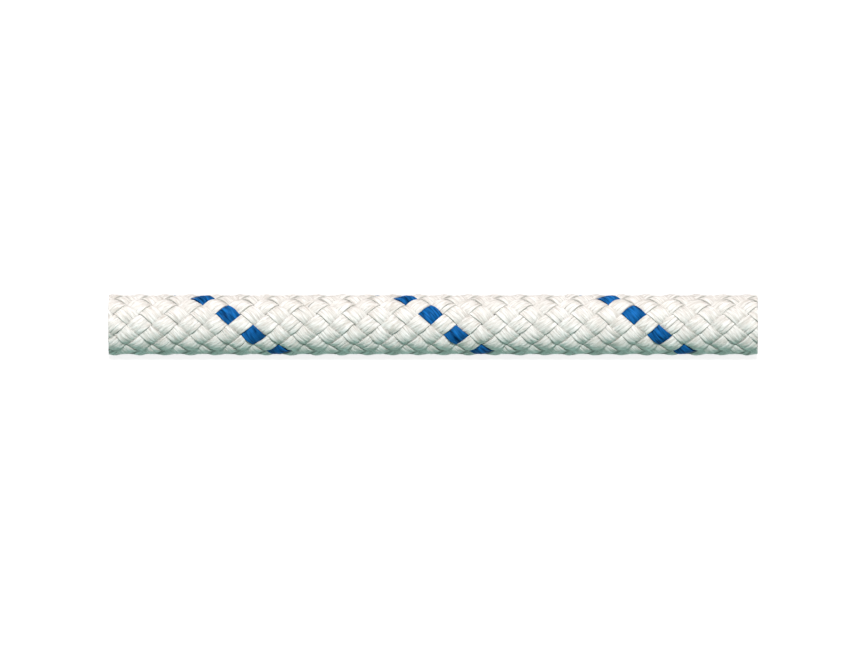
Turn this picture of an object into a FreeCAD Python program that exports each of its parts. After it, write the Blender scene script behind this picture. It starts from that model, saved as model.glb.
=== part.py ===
import FreeCAD, Part
import math
import os

from FreeCAD import Placement, Rotation, Vector

# A square-cut length of kernmantle climbing rope, lying along X on the plane z = 0.
# The mantle is a one-over-one braid of flat strands, half of them winding one way round
# the rope and half the other way, with one coloured tracer strand. The kern is a bundle
# of straight cords, each laid up from three twisted plies.
# The origin is under the middle of the rope, and +Z is up.

doc = FreeCAD.newDocument("climbing_rope")
sheet = doc.addObject("Spreadsheet::Sheet", "sizes")
aliases = []


def add_cell(alias, content, meaning):
    """Write one named cell on the next free row of the sheet."""
    aliases.append(alias)
    row = len(aliases)
    sheet.set(f"A{row}", meaning)
    sheet.set(f"B{row}", str(content))
    sheet.setAlias(f"B{row}", alias)


def size(alias):
    """Read one size from the sheet."""
    return float(sheet.get(alias))


def count(alias):
    """Read one whole number from the sheet."""
    return round(size(alias))


# The driving sizes are in millimetres, degrees or whole numbers.
# The rope as a whole
add_cell("rope_diameter", 10, "diameter over the crowns of the braid")
add_cell("rope_length", 107.4, "length between the two square cuts")
add_cell("resting_depth", 0.15, "how far the braid flattens where the rope lies")

# The mantle
add_cell("strands_each_way", 8, "strands that wind each way round the rope")
add_cell("strand_thickness", 0.6, "thickness of a strand at its middle")
add_cell("strand_clearance", 0.04, "space between two strands where they cross")
add_cell("side_clearance", 0.29, "space between two neighbouring strands")
add_cell("braid_pitch", 33.55, "length of rope in which a strand winds once round")
add_cell("tracer_offset", 1.73, "where the tracer passes the front, from mid rope")
add_cell("front_elevation", 33.75, "how far above level the front of the rope faces")

# The kern
add_cell("kern_clearance", 0.03, "space between the kern and the mantle")
add_cell("inner_cords", 3, "cords in the inner ring of the kern")
add_cell("outer_cords_each", 3, "outer cords for each inner cord")
add_cell("cord_clearance", 0.03, "space between two neighbouring cords")
add_cell("plies_per_cord", 3, "plies twisted into one cord")
add_cell("ply_clearance", 0.02, "space between the plies of a cord")
add_cell("ply_pitch", 9, "length of cord in which a ply winds once round")
add_cell("cord_turn", 47, "turn of a cord's plies after those of the cord before")

# Worked-out sizes. Two strands cross one weave rise apart, about the braid's radius.
add_cell("axis_height", "=rope_diameter / 2 - resting_depth", "height of the rope's axis")
add_cell("weave_rise", "=strand_thickness + strand_clearance", "rise over a strand")
add_cell(
    "braid_radius",
    "=rope_diameter / 2 - (strand_thickness + weave_rise) / 2",
    "middle radius of the braid",
)
add_cell(
    "kern_radius",
    "=rope_diameter / 2 - strand_thickness - weave_rise - kern_clearance",
    "radius of the kern",
)

# The outer ring of cords starts half a step round, so that each inner cord faces a gap. A
# reach is a ring's radius in cord radii, grown by half the clearance between two cords.
# Cords that touch are 2 cord radii apart, and the 4 below is the square of that.
add_cell("outer_cords", "=inner_cords * outer_cords_each", "cords in the outer ring")
add_cell("inner_reach", "=1 / sin(180 / inner_cords)", "reach of the inner ring")
add_cell("nested_part", "=inner_reach * cos(180 / outer_cords)", "its share of the nesting")
add_cell(
    "outer_reach",
    "=max(nested_part + sqrt(nested_part ^ 2 - inner_reach ^ 2 + 4); 1 / sin(180 / outer_cords))",
    "reach of the outer ring",
)
add_cell(
    "grown_cord_radius",
    "=(kern_radius + cord_clearance / 2) / (outer_reach + 1)",
    "radius of a cord with its share of the clearance",
)

# The plies stand round their cord's axis in the same way.
add_cell("ply_reach", "=1 / sin(180 / plies_per_cord)", "reach of the plies")
add_cell(
    "grown_ply_radius",
    "=(grown_cord_radius - cord_clearance / 2 + ply_clearance / 2) / (ply_reach + 1)",
    "radius of a ply with its share of the clearance",
)
add_cell("ply_radius", "=grown_ply_radius - ply_clearance / 2", "radius of a ply")
add_cell("ply_orbit", "=grown_ply_radius * ply_reach", "distance of a ply from its cord's axis")

doc.recompute()

rope_length = size("rope_length")
braid_pitch = size("braid_pitch")
braid_radius = size("braid_radius")
strands_each_way = count("strands_each_way")
crossing_length = braid_pitch / (2 * strands_each_way)

# The strand's angle to the rope, and the angle at the rope's axis that half its width takes.
braid_angle = math.atan(2 * math.pi * braid_radius / braid_pitch)
strand_spacing = 2 * math.pi * braid_radius / strands_each_way * math.cos(braid_angle)
strand_width = strand_spacing - size("side_clearance")
half_width_angle = math.pi / strands_each_way * strand_width / strand_spacing

# Round the rope's axis, an angle of 0 faces +Y and a quarter turn faces up.
front_angle = math.pi - math.radians(size("front_elevation"))

POINTS_PER_CROSSING = 3
CROSSINGS_PER_PANEL = 4
POINTS_ACROSS = 5
CLEAR_OF_END = 0.3
SEWING_GAP = 1e-5

parts = []


def curve_through(points, places):
    """Cubic curve through the points, with one knot at each, at the given places."""
    curve = Part.BSplineCurve()
    curve.interpolate(Points=points, Parameters=places)
    return curve


def surface_through(rows, places_along, places_across):
    """Cubic surface through rows of points: along each row first, then across the rows."""
    along = [curve_through(row, places_along) for row in rows]
    across = []
    for pole in range(1, along[0].NbPoles + 1):
        poles = [curve.getPole(pole) for curve in along]
        across.append(curve_through(poles, places_across))
    surface = Part.BSplineSurface()
    surface.buildFromPolesMultsKnots(
        [curve.getPoles() for curve in across],
        along[0].getMultiplicities(),
        across[0].getMultiplicities(),
        along[0].getKnots(),
        across[0].getKnots(),
        False,
        False,
        along[0].Degree,
        across[0].Degree,
    )
    return surface


def strand_point(x, hand, number, offset, side):
    """Point on a strand's outer (side 1) or inner (side -1) face.

    hand is 1 for a strand whose angle grows along X and -1 for the other way. offset is
    the angle from the strand's middle line. The rise and fall and the thickness follow
    cosines of the same angles, so two crossing strands keep their clearance all over.
    """
    along = x - size("tracer_offset")
    turn = 2 * math.pi * (hand * along / braid_pitch + number / strands_each_way)
    sideways = strands_each_way / 2 * offset
    weave = math.pi * along / crossing_length + hand * sideways
    half_rise = size("weave_rise") / 2
    half_thickness = half_rise * math.cos(sideways) - size("strand_clearance") / 2
    radius = braid_radius - hand * half_rise * math.cos(weave) + side * half_thickness
    angle = front_angle + turn + offset
    return Vector(x, radius * math.cos(angle), radius * math.sin(angle))


def strand_face(hand, number, side, stations):
    """Outer or inner face of a strand over its whole length."""
    offsets = [half_width_angle * (2 * i / (POINTS_ACROSS - 1) - 1) for i in range(POINTS_ACROSS)]
    rows = []
    for offset in offsets:
        rows.append([strand_point(x, hand, number, offset, side) for x in stations])
    return surface_through(rows, stations, offsets)


def strand_stations(hand):
    """Places along X of the strand's knots, and of its seams, which lie in its dips.

    A strand dips under every second strand that it crosses. A seam there stays clear of
    the plane that the crowns rest on.
    """
    dip = size("tracer_offset") + (crossing_length if hand < 0 else 0)
    step = crossing_length / POINTS_PER_CROSSING
    first = math.ceil((-rope_length / 2 - dip) / step + CLEAR_OF_END)
    last = math.floor((rope_length / 2 - dip) / step - CLEAR_OF_END)
    inner = [dip + step * number for number in range(first, last + 1)]
    panel = POINTS_PER_CROSSING * CROSSINGS_PER_PANEL
    seams = [dip + step * number for number in range(first, last + 1) if number % panel == 0]
    ends = [-rope_length / 2, rope_length / 2]
    return [ends[0]] + inner + [ends[1]], [ends[0]] + seams + [ends[1]]


def strand_solid(hand, number):
    """Closed solid of one strand, its long faces in panels that meet in its dips."""
    stations, seams = strand_stations(hand)
    surfaces = [strand_face(hand, number, side, stations) for side in (1, -1)]
    edges = (-half_width_angle, half_width_angle)
    faces = []
    for start, stop in zip(seams[:-1], seams[1:]):
        pair = [surface.copy() for surface in surfaces]
        for surface in pair:
            surface.segment(start, stop, *edges)
            faces.append(surface.toShape())
        for edge in edges:
            faces.append(Part.makeRuledSurface(*[surface.vIso(edge).toShape() for surface in pair]))
    for end in (stations[0], stations[-1]):
        faces.append(Part.makeRuledSurface(*[surface.uIso(end).toShape() for surface in surfaces]))
    skin = Part.Compound(faces)
    skin.sewShape(SEWING_GAP)
    solid = Part.Solid(skin.Shells[0])
    if solid.Volume < 0:
        solid.reverse()
    return solid


def add_ground():
    """Block under the plane that the rope lies on: the braid is flat where it would sink in."""
    block = doc.addObject("Part::Box", "ground")
    block.setExpression("Length", "sizes.rope_length * 1.2")
    block.setExpression("Width", "sizes.rope_diameter * 1.2")
    block.setExpression("Height", "sizes.rope_diameter / 2")
    block.setExpression("Placement.Base.x", "-Length / 2")
    block.setExpression("Placement.Base.y", "-Width / 2")
    block.setExpression("Placement.Base.z", "-Height")
    return block


def add_strand(name, hand, number, ground):
    """One strand of the mantle, flattened where it rests."""
    woven = doc.addObject("Part::Feature", f"{name}_woven")
    woven.Shape = strand_solid(hand, number)
    woven.Placement = Placement(Vector(0, 0, size("axis_height")), Rotation())
    rested = doc.addObject("Part::Cut", name)
    rested.Label = name
    rested.Base = woven
    rested.Tool = ground
    parts.append(rested)


def add_ply(name, left_handed, phase, centre_y, centre_z):
    """One ply of a cord: a round bundle that winds round the cord's axis."""
    path = doc.addObject("Part::Helix", f"{name}_path")
    path.Style = "New style"
    path.SegmentLength = 1
    path.LocalCoord = "Left-handed" if left_handed else "Right-handed"
    path.setExpression("Pitch", "sizes.ply_pitch")
    path.setExpression("Height", "sizes.rope_length")
    path.setExpression("Radius", "sizes.ply_orbit")
    section = doc.addObject("Part::Circle", f"{name}_section")
    section.setExpression("Radius", "sizes.ply_radius")
    section.setExpression("Placement.Base.x", "sizes.ply_orbit")
    ply = doc.addObject("Part::Sweep", name)
    ply.Label = name
    ply.Sections = [section]
    ply.Spine = (path, [])
    ply.Solid = True
    ply.Frenet = True
    lying = Rotation(Vector(0, 1, 0), 90)
    ply.Placement = Placement(Vector(), Rotation(Vector(1, 0, 0), phase) * lying)
    ply.setExpression("Placement.Base.x", "-sizes.rope_length / 2")
    ply.setExpression("Placement.Base.y", centre_y)
    ply.setExpression("Placement.Base.z", f"sizes.axis_height + {centre_z}")
    parts.append(ply)


def add_cord(cord, radius, angle):
    """One cord of the kern: its plies, round a centre given as a radius and an angle.

    Every second cord is twisted the other way, so that the rope doesn't spin under load.
    """
    for ply in range(count("plies_per_cord")):
        phase = cord * size("cord_turn") + ply * 360 / size("plies_per_cord")
        add_ply(
            f"core_cord_{cord}_ply_{ply + 1}",
            cord % 2 == 0,
            phase,
            f"{radius} * cos({angle})",
            f"{radius} * sin({angle})",
        )


ground = add_ground()
add_strand("tracer_strand", 1, 0, ground)
for number in range(1, strands_each_way):
    add_strand(f"sheath_strand_s{number}", 1, number, ground)
for number in range(strands_each_way):
    add_strand(f"sheath_strand_z{number + 1}", -1, number, ground)

for number in range(count("inner_cords")):
    add_cord(
        number + 1,
        "sizes.grown_cord_radius * sizes.inner_reach",
        f"{number} * 360 / sizes.inner_cords",
    )
for number in range(count("outer_cords")):
    add_cord(
        count("inner_cords") + number + 1,
        "sizes.grown_cord_radius * sizes.outer_reach",
        f"({number} + 0.5) * 360 / sizes.outer_cords",
    )

doc.recompute()

for item in doc.Objects:
    if "Invalid" in item.State or "Error" in item.State:
        raise RuntimeError(f"{item.Label} did not build")
for part in parts:
    if part.Shape.isNull() or not part.Shape.isValid() or len(part.Shape.Solids) != 1:
        raise RuntimeError(f"{part.Label} is not one valid solid")

# A ply's section keeps its area all along, so its volume is that area times the length.
ply_volume = math.pi * size("ply_radius") ** 2 * rope_length
for part in parts:
    if "ply" in part.Label and abs(part.Shape.Volume / ply_volume - 1) > 0.001:
        raise RuntimeError(f"{part.Label} has the wrong volume")

print(f"strand width {strand_width:.3f}, ply radius {size('ply_radius'):.3f}")
print(f"cord radius {size('grown_cord_radius') - size('cord_clearance') / 2:.3f}")
print(f"{len(parts)} pieces, volume {sum(part.Shape.Volume for part in parts):.0f}")

os.makedirs("parts", exist_ok=True)
for part in parts:
    part.Shape.exportStep(f"parts/{part.Label}.step")
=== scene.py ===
"""Looks of a square-cut length of kernmantle climbing rope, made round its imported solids.

Sizes are in metres and in the solids' frame: X runs along the rope, Z is up, and the rope
lies on the plane z = 0. The mantle's strands, the kern's cords and the studio are classes.
"""

import logging
import math
from dataclasses import dataclass, field
from enum import Enum

import bpy
import numpy as np
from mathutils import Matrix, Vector


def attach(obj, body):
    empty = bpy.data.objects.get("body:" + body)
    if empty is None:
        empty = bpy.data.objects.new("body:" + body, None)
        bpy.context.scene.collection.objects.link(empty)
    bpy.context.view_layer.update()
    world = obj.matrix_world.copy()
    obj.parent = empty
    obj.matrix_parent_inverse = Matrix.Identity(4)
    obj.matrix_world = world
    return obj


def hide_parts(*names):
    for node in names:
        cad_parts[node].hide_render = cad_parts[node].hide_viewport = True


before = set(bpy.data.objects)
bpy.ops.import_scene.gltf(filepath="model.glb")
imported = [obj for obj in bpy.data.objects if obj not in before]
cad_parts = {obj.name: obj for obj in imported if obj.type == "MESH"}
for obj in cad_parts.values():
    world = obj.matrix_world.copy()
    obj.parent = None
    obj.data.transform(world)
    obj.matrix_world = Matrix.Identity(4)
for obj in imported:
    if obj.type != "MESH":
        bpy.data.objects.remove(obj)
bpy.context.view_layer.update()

MM = 0.001
FIBRE_MAP = "fibre"
BAKE_MAP = "OFBake"
# Mask that paints shade into the gaps between yarns and between plies.
GAP_SHADE_MASK = "groove"
# Each tube of a piece starts this many millimetres further on the fibre map, so streaks don't repeat.
FIBRE_STEP = 10
WHITE = (1.0, 1.0, 1.0, 1.0)
POLYAMIDE_IOR = 1.53
LOG = logging.getLogger("climbing_rope")


class Hand(Enum):
    """Way in which a strand or cord winds, by the letter whose middle stroke leans like it."""

    S = 1
    Z = -1


class Surface(Enum):
    """Slot of a piece's mesh that a face belongs to."""

    SIDE = 0
    CUT = 1


def linear(srgb: str) -> tuple[float, float, float, float]:
    """Turn an sRGB hex colour into the linear colour that shaders take.

    Args:
        srgb: six hex digits after a hash sign.

    Returns:
        Red, green, blue and an alpha of 1.
    """
    channels = [int(srgb[i : i + 2], 16) / 255 for i in (1, 3, 5)]
    light = [c / 12.92 if c <= 0.04045 else ((c + 0.055) / 1.055) ** 2.4 for c in channels]
    return (*light, 1.0)


def add_node(
    tree: bpy.types.NodeTree,
    kind: str,
    inputs: dict | None = None,
    settings: dict | None = None,
) -> bpy.types.Node:
    """Add a shader node with its settings, its plain inputs and its links.

    Args:
        tree: node tree that takes the node.
        kind: Blender's name for the type of node.
        inputs: a plain value or an output socket for each input, by its name or number.
        settings: values of the node's own properties.

    Returns:
        The new node.
    """
    node = tree.nodes.new(kind)
    for name, value in (settings or {}).items():
        setattr(node, name, value)
    for name, value in (inputs or {}).items():
        if isinstance(value, bpy.types.NodeSocket):
            tree.links.new(value, node.inputs[name])
        else:
            node.inputs[name].default_value = value
    return node


def wander(rng: np.random.Generator, x: np.ndarray, wavelength: float) -> np.ndarray:
    """Smooth uneven drift along the rope, between about -1 and 1.

    Args:
        rng: seeded source of the phases.
        x: places along the rope.
        wavelength: length of the longest swing.

    Returns:
        The drift at each place, in the shape of x.
    """
    total = np.zeros_like(x)
    for octave in (1, 2, 3):
        phase, stretch = rng.uniform(0, 2 * math.pi), rng.uniform(0.8, 1.25)
        total += np.sin(2 * math.pi * octave * x / (wavelength * stretch) + phase) / octave
    return total / 1.5


@dataclass(frozen=True)
class RopeSizes:
    """Driving sizes of the rope, the same as its solids have."""

    diameter: float = 10 * MM
    length: float = 107.4 * MM
    resting_depth: float = 0.15 * MM
    strand_thickness: float = 0.6 * MM
    strand_clearance: float = 0.04 * MM
    front_elevation: float = math.radians(33.75)

    @property
    def axis_height(self) -> float:
        """Height of the rope's axis over the floor."""
        return self.diameter / 2 - self.resting_depth

    @property
    def weave_rise(self) -> float:
        """Rise of a strand from under its neighbour to over the next one."""
        return self.strand_thickness + self.strand_clearance

    @property
    def ends(self) -> tuple[float, float]:
        """Places of the two cuts along X."""
        return -self.length / 2, self.length / 2


@dataclass(frozen=True)
class ProductCamera:
    """Long lens level with the rope's front crowns, which frames it as in the photograph."""

    rope: RopeSizes
    picture_width: float = 866
    picture_height: float = 650
    rope_left: float = 108.0
    rope_right: float = 758.2
    rope_middle: float = 324.75
    distance: float = 2.0
    sensor_width: float = 36 * MM

    def build(self) -> bpy.types.Object:
        """Make the camera and look along it.

        Returns:
            The camera object.
        """
        pixel = self.rope.length / (self.rope_right - self.rope_left)
        tilt = self.rope.front_elevation
        back = Vector((0, -math.cos(tilt), math.sin(tilt)))
        up = Vector((0, math.sin(tilt), math.cos(tilt)))
        right = pixel * (self.picture_width - self.rope_left - self.rope_right) / 2
        down = pixel * (self.picture_height / 2 - self.rope_middle)
        aim = Vector((right, 0, self.rope.axis_height)) - up * down
        lens = bpy.data.cameras.new("product_camera")
        lens.sensor_width = self.sensor_width / MM
        front = self.distance - self.rope.diameter / 2
        lens.lens = self.sensor_width * front / (pixel * self.picture_width) / MM
        camera = bpy.data.objects.new("product_camera", lens)
        camera.location = aim + back * self.distance
        camera.rotation_euler = (math.pi / 2 - tilt, 0, 0)
        bpy.context.collection.objects.link(camera)
        bpy.context.scene.camera = camera
        return camera


@dataclass
class Route:
    """Line that the rope follows: straight from one cut to the other, at its axis height."""

    rope: RopeSizes
    smoothness: int = 64
    line: np.ndarray = field(init=False)

    def __post_init__(self) -> None:
        """Read the line's points from its spline."""
        left, right = self.rope.ends
        height = self.rope.axis_height
        controls = [(left, 0, height), (0, 0, height), (right, 0, height)]
        curve = bpy.data.curves.new("rope_route", "CURVE")
        curve.dimensions = "3D"
        spline = curve.splines.new("NURBS")
        spline.points.add(len(controls) - 1)
        for point, place in zip(spline.points, controls):
            point.co = (*place, 1)
        spline.order_u = 3
        spline.use_endpoint_u = True
        spline.resolution_u = self.smoothness
        holder = bpy.data.objects.new("rope_route", curve)
        mesh = bpy.data.meshes.new_from_object(holder)
        points = np.zeros(3 * len(mesh.vertices))
        mesh.vertices.foreach_get("co", points)
        self.line = points.reshape(-1, 3)
        bpy.data.objects.remove(holder)
        bpy.data.curves.remove(curve)
        bpy.data.meshes.remove(mesh)

    def place(self, x: np.ndarray, across: np.ndarray, up: np.ndarray) -> np.ndarray:
        """Turn places in the straight rope into places on the route.

        Args:
            x: distances along the rope from its middle.
            across: distances to the side of the line.
            up: distances over the line.

        Returns:
            The points, with a last axis of three.
        """
        x, across, up = np.broadcast_arrays(x, across, up)
        steps = np.diff(self.line, axis=0)
        gone = np.concatenate([[0], np.cumsum(np.linalg.norm(steps, axis=1))])
        along = x + gone[-1] / 2
        base = np.stack([np.interp(along, gone, self.line[:, axis]) for axis in range(3)], -1)
        middles = (gone[1:] + gone[:-1]) / 2
        ahead = steps / np.linalg.norm(steps, axis=1)[:, None]
        front = np.stack([np.interp(along, middles, ahead[:, axis]) for axis in range(3)], -1)
        side = np.cross((0, 0, 1), front)
        side /= np.linalg.norm(side, axis=-1, keepdims=True)
        over = np.cross(front, side)
        return base + side * across[..., None] + over * up[..., None]


@dataclass
class TubeBundle:
    """Mesh of several tubes with cut ends, and the two maps and the groove mask that finishes read to paint
    shade into the gaps between the tubes.

    The fibre map holds millimetres along and round each tube, and on a cut millimetres across
    it. The bake map lays each tube out in rows, with the cuts in a last row of their own.
    """

    tubes: int
    rows_per_tube: int = 4
    cut_rings: tuple[float, ...] = (0.9, 0.6, 0.3)
    row_margin: float = 0.06
    points: list[np.ndarray] = field(default_factory=list)
    grooves: list[np.ndarray] = field(default_factory=list)
    faces: list[np.ndarray] = field(default_factory=list)
    fibre: list[np.ndarray] = field(default_factory=list)
    bake: list[np.ndarray] = field(default_factory=list)
    slots: list[np.ndarray] = field(default_factory=list)
    count: int = 0
    made: int = 0

    @property
    def rows(self) -> int:
        """Rows of the bake map."""
        return self.tubes * self.rows_per_tube + 1

    def add_faces(self, faces: np.ndarray, fibre: np.ndarray, bake: np.ndarray, slot: Surface) -> None:
        """Keep faces and what the two maps say at their corners.

        Args:
            faces: point numbers, one row for each face.
            fibre: places on the fibre map, for each corner of each face.
            bake: places on the bake map, for each corner of each face.
            slot: part of the surface that they belong to.
        """
        self.faces.append(faces)
        self.fibre.append(fibre.reshape(-1, 2))
        self.bake.append(bake.reshape(-1, 2))
        self.slots.append(np.full(len(faces), slot.value))

    def add_tube(self, rings: np.ndarray, along: np.ndarray, round_: np.ndarray, groove: np.ndarray) -> None:
        """Add one tube with its two cuts.

        Args:
            rings: points of each ring, clockwise seen from the far end.
            along: millimetres along the tube, for each ring.
            round_: millimetres round the tube, for each ring and each point and the first again.
            groove: how far into the gap between the tubes each point lies, from 0 to 1, which sets how much
                painted shade it takes.
        """
        number, across = rings.shape[:2]
        start = self.count
        self.points.append(rings.reshape(-1, 3))
        self.grooves.append(np.broadcast_to(groove, (number, across)).ravel())
        self.count += number * across
        ring, point = np.meshgrid(np.arange(number - 1), np.arange(across), indexing="ij")
        after = (point + 1) % across
        corners = [(ring, point), (ring + 1, point), (ring + 1, after), (ring, after)]
        faces = np.stack([start + i * across + j for i, j in corners], -1).reshape(-1, 4)
        places = [(ring, point), (ring + 1, point), (ring + 1, point + 1), (ring, point + 1)]
        fibre = np.stack([np.stack([along[i], round_[i, j]], -1) for i, j in places], -2)
        in_row = math.ceil((number - 1) / self.rows_per_tube)
        row = self.made * self.rows_per_tube + ring // in_row
        first = ring - ring % in_row
        end_margin = self.row_margin / 4
        corner_places = []
        for i, j in places:
            right = end_margin + (i - first) / in_row * (1 - 2 * end_margin)
            up = (row + self.row_margin + j / across * (1 - 2 * self.row_margin)) / self.rows
            corner_places.append(np.stack([right, up], -1))
        bake = np.stack(corner_places, -2)
        self.add_faces(faces, fibre, bake, Surface.SIDE)
        self.add_cut(rings[0], start, 2 * self.made, False)
        self.add_cut(rings[-1], start + (number - 1) * across, 2 * self.made + 1, True)
        self.made += 1

    def add_cut(self, rim: np.ndarray, first: int, tile: int, at_end: bool) -> None:
        """Close a tube with rings that shrink to a point, on the plane of the cut.

        Args:
            rim: points of the tube's last ring.
            first: number of the rim's first point.
            tile: place of this cut in the bake map's last row.
            at_end: whether the cut faces along the tube.
        """
        across = len(rim)
        middle = rim.mean(axis=0)
        rings = [middle + (rim - middle) * share for share in self.cut_rings]
        flat = np.concatenate([rim, *rings, middle[None]])
        start = self.count
        self.points.append(flat[across:])
        self.grooves.append(np.zeros(len(flat) - across))
        self.count += len(flat) - across
        numbers = np.concatenate([first + np.arange(across), start + np.arange(len(flat) - across)])
        place = (flat - middle)[:, 1:] / MM
        reach = np.abs(place).max()
        tidy = (place / reach * (0.5 - self.row_margin) + 0.5 + (tile, self.rows - 1)) / self.rows
        point = np.arange(across)
        after = (point + 1) % across
        for ring in range(len(rings)):
            inner, outer = (ring + 1) * across, ring * across
            picked = np.stack([outer + point, outer + after, inner + after, inner + point], -1)
            if not at_end:
                picked = picked[:, ::-1]
            self.add_faces(numbers[picked], place[picked], tidy[picked], Surface.CUT)
        hub = np.full(across, len(flat) - 1)
        inner = len(rings) * across
        picked = np.stack([inner + point, inner + after, hub], -1)
        if not at_end:
            picked = picked[:, ::-1]
        self.add_faces(numbers[picked], place[picked], tidy[picked], Surface.CUT)

    def build(self, name: str, side: bpy.types.Material, cut: bpy.types.Material) -> bpy.types.Object:
        """Make the mesh and its object.

        Args:
            name: the piece's name.
            side: finish of the tubes' sides.
            cut: finish of the cuts.

        Returns:
            The piece, in the scene's collection.
        """
        mesh = bpy.data.meshes.new(name)
        mesh.vertices.add(self.count)
        mesh.vertices.foreach_set("co", np.concatenate(self.points).ravel())
        sizes = np.concatenate([np.full(len(f), f.shape[1]) for f in self.faces])
        corners = np.concatenate([f.ravel() for f in self.faces])
        mesh.loops.add(len(corners))
        mesh.loops.foreach_set("vertex_index", corners)
        mesh.polygons.add(len(sizes))
        mesh.polygons.foreach_set("loop_start", np.cumsum(sizes) - sizes)
        mesh.materials.append(side)
        mesh.materials.append(cut)
        mesh.polygons.foreach_set("material_index", np.concatenate(self.slots))
        for title, places in ((FIBRE_MAP, self.fibre), (BAKE_MAP, self.bake)):
            layer = mesh.uv_layers.new(name=title)
            layer.uv.foreach_set("vector", np.concatenate(places).ravel())
        gap_shade = mesh.attributes.new(GAP_SHADE_MASK, "FLOAT", "POINT")
        gap_shade.data.foreach_set("value", np.concatenate(self.grooves))
        mesh.update(calc_edges=True)
        mesh.validate()
        mesh.shade_smooth()
        piece = bpy.data.objects.new(name, mesh)
        bpy.context.collection.objects.link(piece)
        return piece


@dataclass(frozen=True)
class PolyamideYarn:
    """Drawn polyamide 6 yarn of parallel bright filaments, as a rope's strands are braided from.

    To the eye the filaments give a silky streak along the yarn, and light comes back softly from inside it.
    The streaks are painted lighter on their crests and darker in their hollows, which is painted highlight
    and painted shade over some uneven tone, and the gaps between yarns are painted darker still with a
    painted shade colour. Sizes are in millimetres, as on the fibre map.
    """

    name: str
    # Streak colours: the hollow's darkness is painted shade and the crest's brightness partly a painted
    # highlight, over uneven tone.
    crest: str
    hollow: str
    # Painted shade: the colour that the gaps between yarns turn to.
    painted_gap_shade: str
    roughness: float = 0.42
    hollow_dulling: float = 0.14
    crest_shine: float = 0.1
    # Gloss is lower than a smooth face of this index has, because filaments shade one another.
    gloss: float = 0.05
    glow: float = 0.1
    glow_depth: float = 0.2
    # Filaments are about 0.03 mm thick. They are drawn as bundles of 0.15 mm or more, which show.
    bundle: float = 0.15
    ply: float = 0.45
    ply_share: float = 0.45
    streak_length: float = 2.6
    hollow_below: float = 0.36
    crest_above: float = 0.6
    relief: float = 0.15

    def material(self) -> bpy.types.Material:
        """Make the yarn's material.

        Returns:
            A material whose streaks follow the fibre map.
        """
        material = bpy.data.materials.new(self.name)
        material.use_nodes = True
        tree = material.node_tree
        tree.nodes.clear()
        fibre = add_node(tree, "ShaderNodeUVMap", settings={"uv_map": FIBRE_MAP})
        gap_shade = add_node(
            tree, "ShaderNodeAttribute", settings={"attribute_name": GAP_SHADE_MASK, "attribute_type": "GEOMETRY"}
        )
        fine, coarse = (
            add_node(
                tree,
                "ShaderNodeTexNoise",
                {
                    "Vector": add_node(
                        tree,
                        "ShaderNodeMapping",
                        {"Vector": fibre.outputs["UV"], "Scale": (1 / self.streak_length, 1 / width, 1)},
                    ).outputs["Vector"],
                    "Scale": 1.0,
                    "Detail": 2.0,
                    "Roughness": 0.6,
                },
            )
            for width in (self.bundle, self.ply)
        )
        streak = add_node(
            tree,
            "ShaderNodeMix",
            {0: self.ply_share, 2: fine.outputs["Fac"], 3: coarse.outputs["Fac"]},
            {"data_type": "FLOAT"},
        )
        # The streak ramp paints shade into the streaks' hollows and highlight on their crests, where the
        # bump sinks and rises.
        crest = add_node(tree, "ShaderNodeValToRGB", {"Fac": streak.outputs[0]})
        crest.color_ramp.elements[0].position = self.hollow_below
        crest.color_ramp.elements[0].color = linear(self.hollow)
        crest.color_ramp.elements[1].position = self.crest_above
        crest.color_ramp.elements[1].color = linear(self.crest)
        # Painted shade: towards a yarn's sides its colour turns to the gap colour.
        tinted = add_node(
            tree,
            "ShaderNodeMix",
            {0: gap_shade.outputs["Fac"], 6: crest.outputs["Color"], 7: linear(self.painted_gap_shade)},
            {"data_type": "RGBA"},
        )
        dull = add_node(
            tree,
            "ShaderNodeMapRange",
            {
                "Value": streak.outputs[0],
                "To Min": self.roughness + self.hollow_dulling,
                "To Max": self.roughness - self.crest_shine,
            },
        )
        bump = add_node(
            tree,
            "ShaderNodeBump",
            {"Height": streak.outputs[0], "Distance": self.relief * MM, "Strength": 1.0},
        )
        shader = add_node(
            tree,
            "ShaderNodeBsdfPrincipled",
            {
                "Base Color": tinted.outputs[2],
                "Roughness": dull.outputs["Result"],
                "Normal": bump.outputs["Normal"],
                "IOR": POLYAMIDE_IOR,
                "Specular IOR Level": self.gloss,
                "Subsurface Weight": self.glow,
                "Subsurface Radius": (1, 1, 1),
                "Subsurface Scale": self.glow_depth * MM,
            },
        )
        add_node(tree, "ShaderNodeOutputMaterial", {"Surface": shader.outputs["BSDF"]})
        return material


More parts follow.
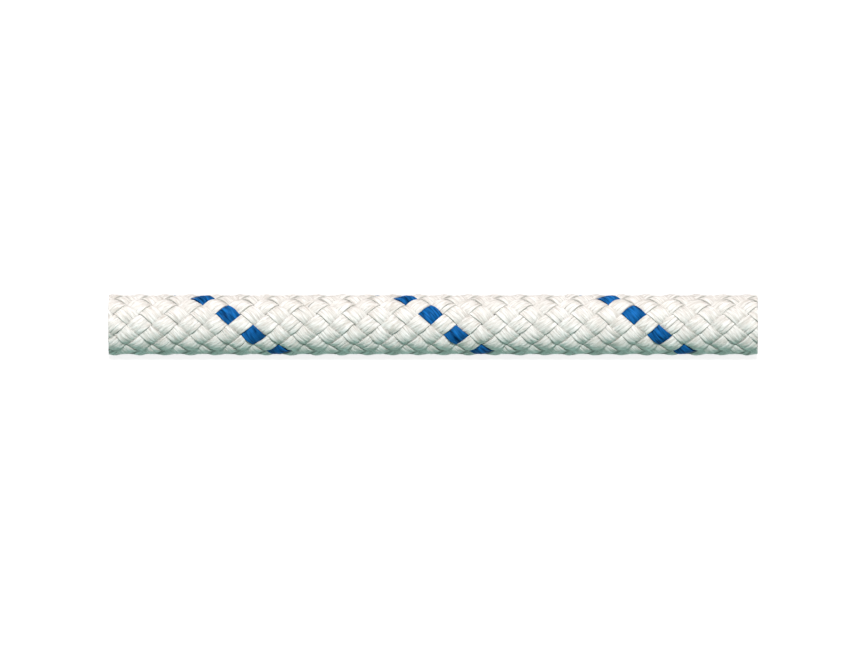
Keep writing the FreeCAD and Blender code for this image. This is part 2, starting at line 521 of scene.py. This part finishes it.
@dataclass(frozen=True)
class CutFilaments:
    """Polyamide filaments cut square by a hot blade: dense, a little glazed, and duller in tone.

    The eye sees packed dots, the filament ends, part of them fused into a smooth skin. The gaps between the
    dots are painted darker, painted shade where the bump sinks. Sizes are in millimetres, as on the fibre
    map.
    """

    name: str
    # The hollow colour is painted shade in the gaps between filament ends.
    crest: str
    hollow: str
    roughness: float = 0.5
    gloss: float = 0.3
    # Filament ends are about 0.03 mm across. They are drawn at 0.09 mm, which shows.
    filament: float = 0.09
    dot_reach: float = 0.25
    hollow_reach: float = 0.75
    relief: float = 0.03

    def material(self) -> bpy.types.Material:
        """Make the cut's material.

        Returns:
            A material whose dots follow the fibre map.
        """
        material = bpy.data.materials.new(self.name)
        material.use_nodes = True
        tree = material.node_tree
        tree.nodes.clear()
        fibre = add_node(tree, "ShaderNodeUVMap", settings={"uv_map": FIBRE_MAP})
        dots = add_node(
            tree, "ShaderNodeTexVoronoi", {"Vector": fibre.outputs["UV"], "Scale": 1 / self.filament}
        )
        # Painted shade: darker away from each filament end's middle, where the bump sinks.
        ramp = add_node(tree, "ShaderNodeValToRGB", {"Fac": dots.outputs["Distance"]})
        ramp.color_ramp.elements[0].position = self.dot_reach
        ramp.color_ramp.elements[0].color = linear(self.crest)
        ramp.color_ramp.elements[1].position = self.hollow_reach
        ramp.color_ramp.elements[1].color = linear(self.hollow)
        bump = add_node(
            tree,
            "ShaderNodeBump",
            {"Height": dots.outputs["Distance"], "Distance": self.relief * MM, "Strength": 1.0},
            {"invert": True},
        )
        shader = add_node(
            tree,
            "ShaderNodeBsdfPrincipled",
            {
                "Base Color": ramp.outputs["Color"],
                "Roughness": self.roughness,
                "Normal": bump.outputs["Normal"],
                "IOR": POLYAMIDE_IOR,
                "Specular IOR Level": self.gloss,
            },
        )
        add_node(tree, "ShaderNodeOutputMaterial", {"Surface": shader.outputs["BSDF"]})
        return material


@dataclass
class Mantle:
    """Sheath of flat strands braided one over one, each of several yarns side by side.

    Strands of one hand keep to their own sectors. Those of opposite hands part where they meet.
    """

    rope: RopeSizes
    route: Route
    strands_each_way: int = 8
    yarns_per_strand: int = 4
    braid_pitch: float = 33.55 * MM
    tracer_offset: float = 1.73 * MM
    side_clearance: float = 0.29 * MM
    arch: float = 1.0
    easing: float = 0.15
    border_easing: float = 0.2
    edge_thinning: float = 0.25
    edge_droop: float = 0.08 * MM
    crown_swell: float = 0.08 * MM
    tracer_bulk: float = 1.2
    yarn_overlap: float = 1.4
    yarn_drift: float = 0.11
    squareness: float = 4.0
    groove_sharpness: int = 6
    rings_per_crossing: int = 14
    points_round: int = 16
    twist: float = math.radians(7)
    uneven_cut: float = 0.06 * MM
    seed: int = 31

    @property
    def braid_radius(self) -> float:
        """Middle radius of the braid."""
        return self.rope.diameter / 2 - (self.rope.strand_thickness + self.rope.weave_rise) / 2

    @property
    def crossing_length(self) -> float:
        """Length of rope from one crossing of a strand to its next."""
        return self.braid_pitch / (2 * self.strands_each_way)

    @property
    def braid_angle(self) -> float:
        """Angle between a strand and the rope."""
        return math.atan(2 * math.pi * self.braid_radius / self.braid_pitch)

    @property
    def half_width_angle(self) -> float:
        """Angle that half of a strand's width takes at the rope's axis."""
        step = math.pi / self.strands_each_way
        spacing = 2 * step * self.braid_radius * math.cos(self.braid_angle)
        return step * (spacing - self.side_clearance) / spacing

    @property
    def sector(self) -> float:
        """Angle to each side that a strand may take before it meets the next one of its hand."""
        room = self.rope.strand_clearance / 2
        return math.pi / self.strands_each_way - room / (self.braid_radius * math.cos(self.braid_angle))

    def wave(self, phase: np.ndarray) -> np.ndarray:
        """Rise and fall of a strand: arched over one crossing and level under the next.

        Args:
            phase: place along the strand, with a crest at 0 and the next one at 2 pi.

        Returns:
            Its height, from 1 on a crest to about -1 under a neighbour.
        """
        arched = 2 - self.arch * (1 - np.cos(phase))
        return self.easing * np.logaddexp(0, arched / self.easing) - 1

    def keep_clear(self, radius: np.ndarray, phase: np.ndarray, across: np.ndarray) -> np.ndarray:
        """Part a strand from those that cross it, at the surface where they meet, and from the kern.

        Args:
            radius: distances of the strand's points from the rope's axis.
            phase: places along the strand, as the wave takes them.
            across: places across the strand, in the same measure, which are the phase of the
                strand that crosses it.

        Returns:
            The distances, changed only where a neighbour lies.
        """
        over = np.cos(phase)
        other = self.wave(across + math.pi * (over > 0))
        meeting = self.braid_radius + self.rope.weave_rise / 4 * (self.wave(phase) + other)
        # Beside a border between two crossings no strand lies against this one, and it may be thicker.
        bare = 1 - np.clip(np.abs(over) / self.border_easing, 0, 1)
        gap = self.rope.strand_clearance / 2 - bare * self.rope.strand_thickness / 2
        parted = np.where(over > 0, np.maximum(radius, meeting + gap), np.minimum(radius, meeting - gap))
        mantle = self.rope.strand_thickness + self.rope.weave_rise
        return np.maximum(parted, self.rope.diameter / 2 - mantle)

    def yarn_rings(
        self, hand: Hand, number: int, yarn: int, bulk: float, rng: np.random.Generator
    ) -> tuple[np.ndarray, np.ndarray, np.ndarray, np.ndarray]:
        """Points of one yarn of a strand.

        Args:
            hand: way that the strand winds.
            number: the strand's number among those of its hand.
            yarn: the yarn's number in the strand.
            bulk: width of the strand on its crests, as a share of the usual.
            rng: seeded source of its unevenness.

        Returns:
            The rings, the millimetres along and round the yarn, and how far each point lies into the gaps
            between yarns, which sets their painted shade.
        """
        steps = round(self.rope.length / self.crossing_length * self.rings_per_crossing)
        left, right = self.rope.ends
        trims = rng.uniform(0, self.uneven_cut, 2)
        x = np.linspace(left + trims[0], right - trims[1], steps + 1)[:, None]
        round_turn = np.linspace(0, 2 * math.pi, self.points_round, endpoint=False)[None] - math.pi / 2
        power = 2 / self.squareness
        lateral = np.sign(np.cos(round_turn)) * np.abs(np.cos(round_turn)) ** power
        upward = np.sign(np.sin(round_turn)) * np.abs(np.sin(round_turn)) ** power
        sign = hand.value
        along = x - self.tracer_offset
        crown = -sign * np.cos(math.pi * along / self.crossing_length)
        spread = self.half_width_angle * (1 + (bulk - 1) * (1 + crown) / 2)
        place = (2 * yarn + 1) / self.yarns_per_strand - 1
        cell = 2 * self.crossing_length
        drift = self.yarn_drift * (1 - place**2) * wander(rng, x, 3 * cell)
        centre = spread * (place + drift)
        half_yarn = spread / self.yarns_per_strand * self.yarn_overlap
        half_yarn = half_yarn * (1 + 2 * self.yarn_drift * wander(rng, x, 2 * cell))
        offset = np.clip(centre + half_yarn * lateral, -self.sector, self.sector)
        quarter = self.strands_each_way / 2
        phase = math.pi * along / self.crossing_length + sign * quarter * offset
        phase = phase + math.pi * (hand is Hand.S)
        half_rise = self.rope.weave_rise / 2
        half_thick = self.rope.strand_thickness / 2 * (1 - self.edge_thinning * place**2)
        half_thick = half_thick * (1 + self.yarn_drift * wander(rng, x, 2 * cell))
        radius = self.braid_radius + half_rise * self.wave(phase) + half_thick * upward
        radius = radius + crown * (self.crown_swell - self.edge_droop * (offset / spread) ** 2)
        radius = self.keep_clear(radius, phase, quarter * offset)
        turn = 2 * math.pi * (sign * along / self.braid_pitch + number / self.strands_each_way)
        angle = math.pi - self.rope.front_elevation + turn + offset
        up = np.maximum(radius * np.sin(angle), -self.rope.axis_height)
        rings = self.route.place(x, radius * np.cos(angle), up)
        length = (x[:, 0] - left) / math.cos(self.braid_angle) / MM
        share = np.linspace(0, 1, self.points_round + 1)[None]
        girth = 4 * (half_yarn * self.braid_radius * math.cos(self.braid_angle) + half_thick) / MM
        round_ = share * girth.mean() + length[:, None] * math.tan(self.twist) + FIBRE_STEP * yarn
        # Painted shade mask: 1 at a yarn's sides, where the gaps between yarns are painted darker.
        groove = np.abs(lateral) ** self.groove_sharpness * np.ones_like(x)
        return rings, length, round_, groove

    def build_strand(
        self,
        name: str,
        hand: Hand,
        number: int,
        side: bpy.types.Material,
        cut: bpy.types.Material,
        bulk: float = 1.0,
    ) -> bpy.types.Object:
        """Make one strand of the braid from its yarns.

        Args:
            name: the piece's name.
            hand: way that the strand winds.
            number: the strand's number among those of its hand.
            side: finish of its yarns.
            cut: finish of its cut ends.
            bulk: width of the strand on its crests, as a share of the usual.

        Returns:
            The piece.
        """
        rng = np.random.default_rng([self.seed, number, hand.value + 1])
        bundle = TubeBundle(tubes=self.yarns_per_strand)
        for yarn in range(self.yarns_per_strand):
            bundle.add_tube(*self.yarn_rings(hand, number, yarn, bulk, rng))
        return bundle.build(name, side, cut)


@dataclass(frozen=True)
class SectorCell:
    """Part of a ring that a soft bundle is pressed into: its radii, half angle and middle."""

    inner: float
    outer: float
    half_angle: float
    middle: float


@dataclass
class Kern:
    """Core of straight cords in two rings, each cord laid up from twisted plies.

    The plies fill their cord, and the cords are pressed into the room that the mantle leaves.
    """

    rope: RopeSizes
    route: Route
    inner_cords: int = 3
    outer_cords_each: int = 3
    plies_per_cord: int = 3
    kern_clearance: float = 0.03 * MM
    cord_clearance: float = 0.03 * MM
    ply_pitch: float = 9 * MM
    cord_turn: float = math.radians(47)
    corner_sharpness: float = 7
    # Place of a ply's middle between its cord's middle and wall.
    ply_middle: float = 0.56
    # A wall that is never met counts as this many cells away, and one met at less than the slope as never.
    no_wall: float = 1e3
    least_slope: float = 1e-3
    rings_per_turn: int = 24
    points_round: int = 20
    uneven_cut: float = 0.12 * MM
    seed: int = 57

    @property
    def outer_cords(self) -> int:
        """Number of cords in the outer ring."""
        return self.inner_cords * self.outer_cords_each

    @property
    def inner_reach(self) -> float:
        """Radius of the inner ring in cord radii."""
        return 1 / math.sin(math.pi / self.inner_cords)

    @property
    def outer_reach(self) -> float:
        """Radius of the outer ring in cord radii, with each cord against the inner ones."""
        nested = self.inner_reach * math.cos(math.pi / self.outer_cords)
        nesting = nested + math.sqrt(nested**2 - self.inner_reach**2 + 4)
        return max(nesting, 1 / math.sin(math.pi / self.outer_cords))

    @property
    def grown_cord_radius(self) -> float:
        """Radius of a cord with its share of the clearance."""
        mantle = self.rope.strand_thickness + self.rope.weave_rise
        kern_radius = self.rope.diameter / 2 - mantle - self.kern_clearance
        return (kern_radius + self.cord_clearance / 2) / (self.outer_reach + 1)

    def room(self, cell: SectorCell, bearing: np.ndarray) -> np.ndarray:
        """Distance from a cell's middle to its walls, with its corners rounded off.

        Args:
            cell: the cell that a soft bundle is pressed into.
            bearing: directions, with 0 away from the centre that the cell lies round.

        Returns:
            The distance in each direction.
        """
        across, up = np.cos(bearing), np.sin(bearing)
        far = self.no_wall * cell.outer
        walls = [-cell.middle * across + np.sqrt(cell.outer**2 - (cell.middle * up) ** 2)]
        inside = cell.inner**2 - (cell.middle * up) ** 2
        near = -cell.middle * across - np.sqrt(np.maximum(inside, 0))
        walls.append(np.where((inside > 0) & (across < 0), near, far))
        for way in (1, -1):
            heading = -across * math.sin(cell.half_angle) + way * up * math.cos(cell.half_angle)
            reach = cell.middle * math.sin(cell.half_angle) / np.maximum(heading, self.least_slope)
            walls.append(np.where(heading > self.least_slope, reach, far))
        power = self.corner_sharpness
        return sum(wall**-power for wall in walls) ** (-1 / power)

    def cord_cell(self, cord: int) -> tuple[SectorCell, float]:
        """Room that a cord is pressed into, and the angle of its middle round the rope.

        Args:
            cord: the cord's number, from 1, with the inner ring first.

        Returns:
            The cell and the angle.
        """
        radius = self.grown_cord_radius
        border = radius * (self.inner_reach + self.outer_reach) / 2
        if cord <= self.inner_cords:
            half = math.pi / self.inner_cords
            cell = SectorCell(0, border, half, radius * self.inner_reach)
            return cell, 2 * half * (cord - 1)
        half = math.pi / self.outer_cords
        outside = radius * (self.outer_reach + 1)
        cell = SectorCell(border, outside, half, radius * self.outer_reach)
        return cell, 2 * half * (cord - self.inner_cords - 0.5)

    def build_cord(
        self, name: str, cord: int, side: bpy.types.Material, cut: bpy.types.Material
    ) -> bpy.types.Object:
        """Make one cord of the kern from its plies.

        Args:
            name: the piece's name.
            cord: the cord's number, from 1.
            side: finish of its plies.
            cut: finish of its cut ends.

        Returns:
            The piece.
        """
        rng = np.random.default_rng([self.seed, cord])
        cell, angle = self.cord_cell(cord)
        way = -1 if cord % 2 == 0 else 1
        third = SectorCell(0, 1, math.pi / self.plies_per_cord, self.ply_middle)
        turn = -np.linspace(0, 2 * math.pi, self.points_round, endpoint=False)
        outline = third.middle + self.room(third, turn) * np.exp(1j * turn)
        reach, direction = np.abs(outline)[None], np.angle(outline)[None]
        steps = round(self.rope.length / self.ply_pitch * self.rings_per_turn)
        left, right = self.rope.ends
        bundle = TubeBundle(tubes=self.plies_per_cord)
        for ply in range(self.plies_per_cord):
            trims = rng.uniform(0, self.uneven_cut, 2)
            x = np.linspace(left + trims[0], right - trims[1], steps + 1)[:, None]
            phase = cord * self.cord_turn + ply * 2 * math.pi / self.plies_per_cord
            twist = phase + way * 2 * math.pi * (x - left) / self.ply_pitch - math.pi / 2
            bearing = twist + direction
            spread = reach * (self.room(cell, bearing - angle) - self.cord_clearance)
            across = cell.middle * math.cos(angle) + spread * np.cos(bearing)
            up = cell.middle * math.sin(angle) + spread * np.sin(bearing)
            rings = self.route.place(x, across, up)
            length = (x[:, 0] - left) / MM
            share = np.linspace(0, 1, self.points_round + 1)
            girth = share * math.pi * self.grown_cord_radius / MM
            round_ = np.broadcast_to(girth + FIBRE_STEP * ply, (steps + 1, self.points_round + 1))
            # Painted shade mask: the farther a ply's outline draws in from its cord's round, the darker it
            # is painted, in the creases between plies.
            groove = np.clip(1 - reach, 0, 1) * np.ones_like(x)
            bundle.add_tube(rings, length, round_, groove)
        return bundle.build(name, side, cut)


@dataclass(frozen=True)
class Studio:
    """White sweep with a broad light overhead and one at each end, a faint fill and a dim bounce."""

    floor_reach: float = 6.0
    light_elevation: float = math.radians(67)
    light_breadth: float = math.radians(12)
    light_strength: float = 3.4
    end_light_elevation: float = math.radians(2)
    end_light_strength: float = 2.2
    fill_front: str = "#2E3131"
    fill_back: str = "#6A4430"
    bounce: str = "#86AEA6"
    floor_glow: float = 0.86
    floor_tone: str = "#8A8A8A"

    def camera_share(self, tree: bpy.types.NodeTree) -> bpy.types.NodeSocket:
        """Share of rays that show the background: seen directly, in gloss or through glass.

        Args:
            tree: node tree that takes the nodes.

        Returns:
            A socket that is 1 for such a ray.
        """
        path = add_node(tree, "ShaderNodeLightPath")
        seen = path.outputs["Is Camera Ray"]
        for name in ("Is Glossy Ray", "Is Transmission Ray"):
            both = {0: seen, 1: path.outputs[name]}
            seen = add_node(tree, "ShaderNodeMath", both, {"operation": "MAXIMUM"}).outputs[0]
        return seen

    def build_world(self) -> None:
        """Make the world: white where it is seen, and a faint fill elsewhere."""
        world = bpy.data.worlds.new("studio_world")
        world.use_nodes = True
        tree = world.node_tree
        tree.nodes.clear()
        direction = add_node(tree, "ShaderNodeTexCoord").outputs["Generated"]
        split = add_node(tree, "ShaderNodeSeparateXYZ", {0: direction})
        back = add_node(tree, "ShaderNodeMapRange", {"Value": split.outputs["Y"], "From Min": -1.0})
        fill = add_node(
            tree,
            "ShaderNodeMix",
            {0: back.outputs["Result"], 6: linear(self.fill_front), 7: linear(self.fill_back)},
            {"data_type": "RGBA"},
        )
        faint = add_node(tree, "ShaderNodeBackground", {"Color": fill.outputs[2], "Strength": 1.0})
        white = add_node(tree, "ShaderNodeBackground", {"Color": WHITE, "Strength": 1.0})
        mix = add_node(
            tree,
            "ShaderNodeMixShader",
            {0: self.camera_share(tree), 1: faint.outputs[0], 2: white.outputs[0]},
        )
        add_node(tree, "ShaderNodeOutputWorld", {"Surface": mix.outputs[0]})
        bpy.context.scene.world = world

    def floor_material(self) -> bpy.types.Material:
        """Make the floor's matt paper, which keeps the rope's shadow.

        Returns:
            A material that looks white and sends back a dim light.
        """
        material = bpy.data.materials.new("matt_paper")
        material.use_nodes = True
        tree = material.node_tree
        tree.nodes.clear()
        dim = add_node(tree, "ShaderNodeBsdfDiffuse", {"Color": linear(self.bounce)})
        shown = add_node(tree, "ShaderNodeBsdfDiffuse", {"Color": linear(self.floor_tone)})
        glow = add_node(tree, "ShaderNodeEmission", {"Color": WHITE, "Strength": self.floor_glow})
        bright = add_node(tree, "ShaderNodeAddShader", {0: shown.outputs[0], 1: glow.outputs[0]})
        mix = add_node(
            tree,
            "ShaderNodeMixShader",
            {0: self.camera_share(tree), 1: dim.outputs[0], 2: bright.outputs[0]},
        )
        add_node(tree, "ShaderNodeOutputMaterial", {"Surface": mix.outputs[0]})
        return material

    def build(self) -> None:
        """Make the world, the floor and the lights."""
        self.build_world()
        reach = self.floor_reach
        corners = [(-reach, -reach, 0), (reach, -reach, 0), (reach, reach, 0), (-reach, reach, 0)]
        mesh = bpy.data.meshes.new("floor")
        mesh.from_pydata(corners, [], [(0, 1, 2, 3)])
        mesh.materials.append(self.floor_material())
        floor = bpy.data.objects.new("floor", mesh)
        bpy.context.collection.objects.link(floor)
        tilt = self.light_elevation
        self.add_light("overhead_light", (0, -math.cos(tilt), math.sin(tilt)), self.light_strength)
        tilt = self.end_light_elevation
        for name, side in (("left_light", -1), ("right_light", 1)):
            toward = (side * math.cos(tilt), 0, math.sin(tilt))
            self.add_light(name, toward, self.end_light_strength)

    def add_light(self, name: str, toward: tuple[float, float, float], strength: float) -> None:
        """Add one broad, distant light.

        Args:
            name: the light's name.
            toward: direction from the rope to the light.
            strength: its strength in watts per square metre.
        """
        lamp = bpy.data.lights.new(name, "SUN")
        lamp.energy = strength
        lamp.angle = self.light_breadth
        light = bpy.data.objects.new(name, lamp)
        light.rotation_euler = Vector(toward).to_track_quat("Z", "Y").to_euler()
        bpy.context.collection.objects.link(light)


# The third colour of each yarn is the painted shade of the gaps between its yarns or plies.
WHITE_YARN = PolyamideYarn("white_polyamide_yarn", crest="#FFFEFB", hollow="#D6D0C8", painted_gap_shade="#BCBDB7")
BLUE_YARN = PolyamideYarn(
    "blue_polyamide_yarn",
    crest="#1E76C6",
    hollow="#012850",
    painted_gap_shade="#05264F",
    gloss=0.02,
    bundle=0.3,
    ply=0.7,
)
CORE_YARN = PolyamideYarn("undyed_polyamide_ply", crest="#F3F0E8", hollow="#DEDAD0", painted_gap_shade="#A9A59A")
WHITE_CUT = CutFilaments("hot_cut_white_polyamide", crest="#FAF8F2", hollow="#D6D3CA")
BLUE_CUT = CutFilaments("hot_cut_blue_polyamide", crest="#2A74BE", hollow="#0C3A72")
CORE_CUT = CutFilaments("hot_cut_undyed_polyamide", crest="#F8F5EC", hollow="#D0CCC0")


def keep(piece: bpy.types.Object, nodes: list[str]) -> bpy.types.Object:
    """Let a piece ride on the rope and stand for its solids, which it hides.

    Args:
        piece: the piece.
        nodes: names of the solids that it replaces.

    Returns:
        The same piece.
    """
    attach(piece, "root")
    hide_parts(*nodes)
    LOG.info("%s: %d faces", piece.name, len(piece.data.polygons))
    return piece


def main() -> None:
    """Build the camera, the rope and the studio."""
    rope = RopeSizes()
    ProductCamera(rope).build()
    route = Route(rope)
    mantle = Mantle(rope, route)
    white, white_cut = WHITE_YARN.material(), WHITE_CUT.material()
    blue, blue_cut = BLUE_YARN.material(), BLUE_CUT.material()
    core, core_cut = CORE_YARN.material(), CORE_CUT.material()

    tracer = mantle.build_strand("tracer_yarns", Hand.S, 0, blue, blue_cut, mantle.tracer_bulk)
    keep(tracer, ["tracer_strand"])
    # The tracer is the first strand of its hand, so the white ones begin one later there.
    for hand, first in ((Hand.S, 1), (Hand.Z, 0)):
        for number in range(first, mantle.strands_each_way):
            title = f"{hand.name.lower()}{number + 1 - first}"
            strand = mantle.build_strand(f"white_yarns_{title}", hand, number, white, white_cut)
            keep(strand, [f"sheath_strand_{title}"])

    kern = Kern(rope, route)
    for cord in range(1, kern.inner_cords + kern.outer_cords + 1):
        plies = [f"core_cord_{cord}_ply_{ply + 1}" for ply in range(kern.plies_per_cord)]
        keep(kern.build_cord(f"core_cord_{cord}", cord, core, core_cut), plies)

    Studio().build()
    bpy.context.scene.view_settings.view_transform = "Standard"


if __name__ == "__main__":
    logging.basicConfig(level=logging.INFO)
    main()
